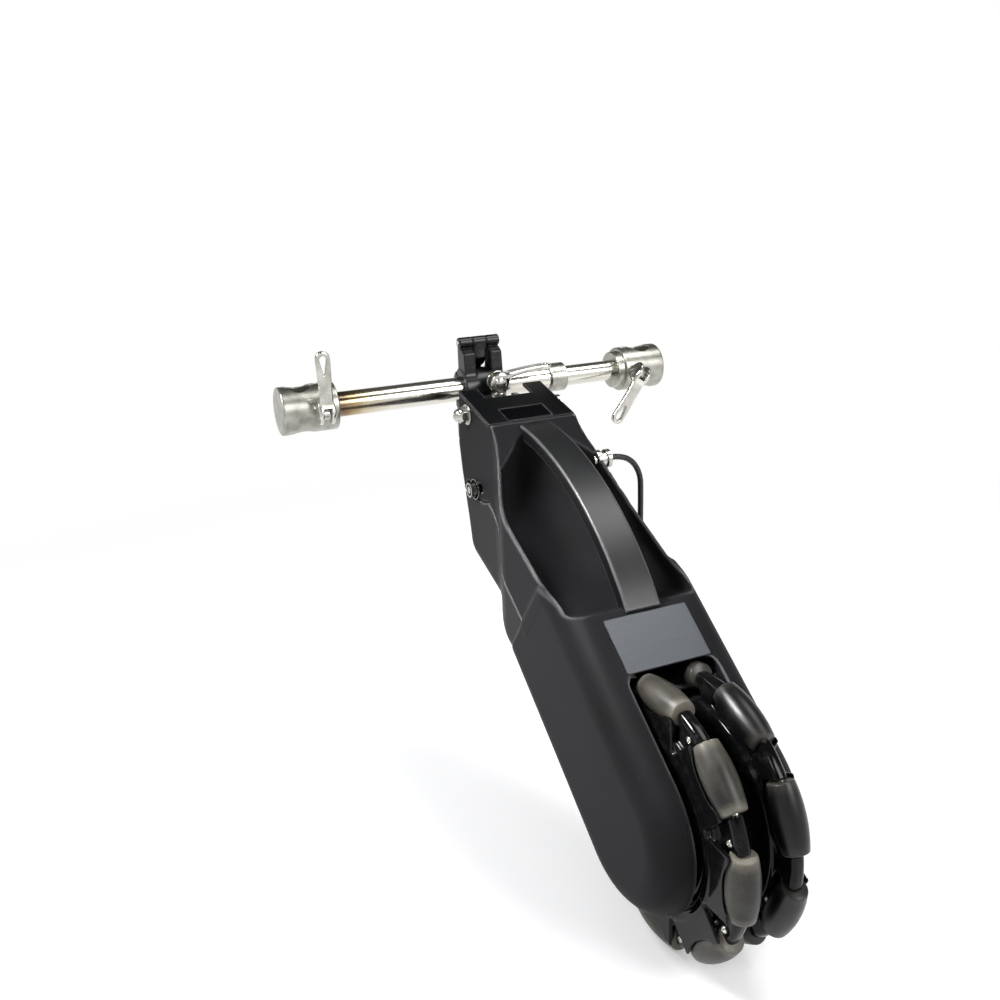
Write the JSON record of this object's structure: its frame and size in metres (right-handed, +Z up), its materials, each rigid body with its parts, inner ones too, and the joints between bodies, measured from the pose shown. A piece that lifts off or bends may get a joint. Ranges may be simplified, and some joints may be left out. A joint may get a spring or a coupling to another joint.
{
  "type": "wheelchair power assist",
  "caption": "Rear drive unit for a manual wheelchair: sloping housing with a carry handle, an omnidirectional hub-motor wheel and a quick-release crossbar with cam levers.",
  "frame": {"origin": "centre of the left end clamp's upright bore, on the crossbar's axis", "axes": "+X along the crossbar to the right end clamp, +Y forward, away from the drive wheel, +Z up"},
  "size_m": [0.376, 0.477, 0.392],
  "materials": {
    "tube_steel": "polished",
    "clamp_alloy": "satin",
    "steel": "satin",
    "black_metal": "satin",
    "shell_grey": "fine grain",
    "belly_grey": "fine grain",
    "plate_black": "gloss",
    "window_black": "gloss",
    "handle_black": "coarse grain",
    "label_grey": "matte",
    "battery_wrap": "matte",
    "heat_sink": "satin",
    "copper": "enamelled",
    "magnet": "matte",
    "motor_black": "satin",
    "rim_black": "gloss",
    "roller_rubber": "worn",
    "roller_black": "worn",
    "cord_black": "matte"
  },
  "bodies": {
    "crossbar": {"outer_tube": "tube_steel", "lock_collar": "clamp_alloy", "left_clamp": "clamp_alloy", "left_skewer": "steel", "clamp_bracket": "black_metal", "hinge_pin": "steel", "clamp_stud": "steel", "barrel_nut": "steel", "clamp_washers": "steel", "limit_bolt": "steel"},
    "right_end": {"inner_tube": "tube_steel", "right_clamp": "clamp_alloy", "right_skewer": "steel"},
    "left_lever": {"left_lever": "clamp_alloy"},
    "right_lever": {"right_lever": "clamp_alloy"},
    "jaw": {"clamp_jaw": "black_metal"},
    "cam_lever": {"clamp_lever": "clamp_alloy", "clamp_lever_pin": "steel"},
    "drive_unit": {"pivot_bolt": "steel", "pivot_nut": "steel", "pivot_washers": "steel", "upper_shell": "shell_grey", "belly_shell": "belly_grey", "top_plate": "plate_black", "window": "window_black", "carry_handle": "handle_black", "label_plate": "label_grey", "battery_pack": "battery_wrap", "controller": "heat_sink", "axle": "steel", "axle_nuts": "steel", "stator": "copper", "cord_gland": "steel", "cord_lead": "cord_black", "cord_coil": "cord_black", "cord_tie": "cord_black", "cord_plug": "cord_black"},
    "wheel": {"wheel_bearings": "steel", "magnet_ring": "magnet", "motor_shell": "motor_black", "rim_left": "rim_black", "rim_right": "rim_black", "roller_pins": "steel", "bridge_screws": "steel"},
    "roller_l1": {"roller_l1": "roller_rubber"},
    "roller_l2": {"roller_l2": "roller_rubber"},
    "roller_l3": {"roller_l3": "roller_rubber"},
    "roller_l4": {"roller_l4": "roller_rubber"},
    "roller_l5": {"roller_l5": "roller_rubber"},
    "roller_l6": {"roller_l6": "roller_rubber"},
    "roller_l7": {"roller_l7": "roller_rubber"},
    "roller_l8": {"roller_l8": "roller_rubber"},
    "roller_r1": {"roller_r1": "roller_black"},
    "roller_r2": {"roller_r2": "roller_black"},
    "roller_r3": {"roller_r3": "roller_black"},
    "roller_r4": {"roller_r4": "roller_black"},
    "roller_r5": {"roller_r5": "roller_black"},
    "roller_r6": {"roller_r6": "roller_black"},
    "roller_r7": {"roller_r7": "roller_black"},
    "roller_r8": {"roller_r8": "roller_black"}
  },
  "joints": [
    {"name": "bar_slide", "type": "slide", "parent": "crossbar", "child": "right_end", "axis": [1, 0, 0], "range_m": [-0.02, 0.03]},
    {"name": "left_lever_cam", "type": "hinge", "parent": "crossbar", "child": "left_lever", "pos_m": [0.0155, -0.0303, 0], "axis": [1, 0, 0], "range_deg": [0, 120]},
    {"name": "right_lever_cam", "type": "hinge", "parent": "right_end", "child": "right_lever", "pos_m": [0.3245, -0.0303, 0], "axis": [-0.8192, 0, 0.5736], "range_deg": [0, 120]},
    {"name": "jaw_swing", "type": "hinge", "parent": "crossbar", "child": "jaw", "pos_m": [0.17, 0, 0.042], "axis": [1, 0, 0], "range_deg": [0, 70]},
    {"name": "cam_lever_turn", "type": "hinge", "parent": "crossbar", "child": "cam_lever", "pos_m": [0.175, -0.031, 0.009], "axis": [0, -1, 0], "range_deg": [0, 150]},
    {"name": "unit_pitch", "type": "hinge", "parent": "crossbar", "child": "drive_unit", "pos_m": [0.17, -0.066, -0.008], "axis": [1, 0, 0], "range_deg": [-14, 8]},
    {"name": "wheel_spin", "type": "hinge", "parent": "drive_unit", "child": "wheel", "pos_m": [0.17, -0.348, -0.238], "axis": [1, 0, 0], "continuous": true},
    {"name": "roller_l1_spin", "type": "hinge", "parent": "wheel", "child": "roller_l1", "pos_m": [0.1505, -0.34568, -0.14953], "axis": [0, 0.9997, -0.0262], "continuous": true},
    {"name": "roller_l2_spin", "type": "hinge", "parent": "wheel", "child": "roller_l2", "pos_m": [0.1505, -0.40892, -0.1738], "axis": [0, 0.7254, 0.6884], "continuous": true},
    {"name": "roller_l3_spin", "type": "hinge", "parent": "wheel", "child": "roller_l3", "pos_m": [0.1505, -0.43647, -0.23568], "axis": [0, 0.0262, 0.9997], "continuous": true},
    {"name": "roller_l4_spin", "type": "hinge", "parent": "wheel", "child": "roller_l4", "pos_m": [0.1505, -0.4122, -0.29892], "axis": [0, -0.6884, 0.7254], "continuous": true},
    {"name": "roller_l5_spin", "type": "hinge", "parent": "wheel", "child": "roller_l5", "pos_m": [0.1505, -0.35032, -0.32647], "axis": [0, -0.9997, 0.0262], "continuous": true},
    {"name": "roller_l6_spin", "type": "hinge", "parent": "wheel", "child": "roller_l6", "pos_m": [0.1505, -0.28708, -0.3022], "axis": [0, -0.7254, -0.6884], "continuous": true},
    {"name": "roller_l7_spin", "type": "hinge", "parent": "wheel", "child": "roller_l7", "pos_m": [0.1505, -0.25953, -0.24032], "axis": [0, -0.0262, -0.9997], "continuous": true},
    {"name": "roller_l8_spin", "type": "hinge", "parent": "wheel", "child": "roller_l8", "pos_m": [0.1505, -0.2838, -0.17708], "axis": [0, 0.6884, -0.7254], "continuous": true},
    {"name": "roller_r1_spin", "type": "hinge", "parent": "wheel", "child": "roller_r1", "pos_m": [0.1895, -0.37972, -0.15538], "axis": [0, 0.9336, 0.3584], "continuous": true},
    {"name": "roller_r2_spin", "type": "hinge", "parent": "wheel", "child": "roller_r2", "pos_m": [0.1895, -0.42885, -0.202], "axis": [0, 0.4067, 0.9135], "continuous": true},
    {"name": "roller_r3_spin", "type": "hinge", "parent": "wheel", "child": "roller_r3", "pos_m": [0.1895, -0.43062, -0.26972], "axis": [0, -0.3584, 0.9336], "continuous": true},
    {"name": "roller_r4_spin", "type": "hinge", "parent": "wheel", "child": "roller_r4", "pos_m": [0.1895, -0.384, -0.31885], "axis": [0, -0.9135, 0.4067], "continuous": true},
    {"name": "roller_r5_spin", "type": "hinge", "parent": "wheel", "child": "roller_r5", "pos_m": [0.1895, -0.31628, -0.32062], "axis": [0, -0.9336, -0.3584], "continuous": true},
    {"name": "roller_r6_spin", "type": "hinge", "parent": "wheel", "child": "roller_r6", "pos_m": [0.1895, -0.26715, -0.274], "axis": [0, -0.4067, -0.9135], "continuous": true},
    {"name": "roller_r7_spin", "type": "hinge", "parent": "wheel", "child": "roller_r7", "pos_m": [0.1895, -0.26538, -0.20628], "axis": [0, 0.3584, -0.9336], "continuous": true},
    {"name": "roller_r8_spin", "type": "hinge", "parent": "wheel", "child": "roller_r8", "pos_m": [0.1895, -0.312, -0.15715], "axis": [0, 0.9135, -0.4067], "continuous": true}
  ]
}
